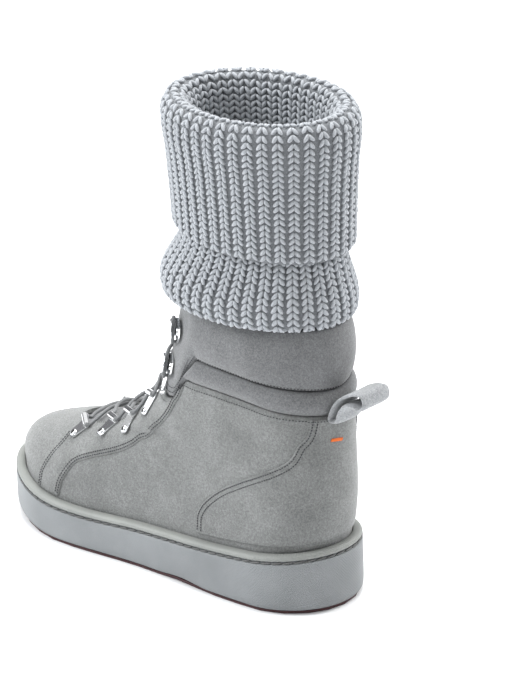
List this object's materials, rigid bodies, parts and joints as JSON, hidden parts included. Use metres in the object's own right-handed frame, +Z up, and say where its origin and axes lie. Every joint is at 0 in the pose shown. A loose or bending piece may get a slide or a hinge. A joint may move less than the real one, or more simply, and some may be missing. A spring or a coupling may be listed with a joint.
{
  "type": "high-top suede boot with knitted shaft",
  "caption": "Left high-top suede boot with a cupped rubber sole, padded collar, lace hooks, heel pull loop and a knitted shaft turned over twice.",
  "frame": {"origin": "on the floor under the middle of the sole, on its flat underside", "axes": "+X towards the toe, +Y towards the lateral side of this left boot, +Z up"},
  "size_m": [0.3012, 0.1036, 0.3202],
  "materials": {
    "suede": "napped",
    "suede_dark": "napped",
    "rubber": "matt",
    "tread_rubber": "matt",
    "knit": "knitted",
    "hook_metal": "polished",
    "cord": "braided"
  },
  "bodies": {
    "root": {"tread": "tread_rubber", "cupsole": "rubber", "insole": "suede", "upper": "suede", "eyestay_lateral": "suede", "eyestay_medial": "suede", "heel_counter": "suede", "collar_lower_band": "suede_dark", "collar_upper_band": "suede_dark", "tongue": "suede", "knit_shaft": "knit", "pull_loop": "suede", "lace": "cord", "lace_hook_lateral_1": "hook_metal", "lace_hook_lateral_2": "hook_metal", "lace_hook_lateral_3": "hook_metal", "lace_hook_lateral_4": "hook_metal", "lace_hook_lateral_5": "hook_metal", "lace_hook_medial_1": "hook_metal", "lace_hook_medial_2": "hook_metal", "lace_hook_medial_3": "hook_metal", "lace_hook_medial_4": "hook_metal", "lace_hook_medial_5": "hook_metal", "speed_hook_lateral_1": "hook_metal", "speed_hook_lateral_2": "hook_metal", "speed_hook_medial_1": "hook_metal", "speed_hook_medial_2": "hook_metal"}
  },
  "joints": []
}
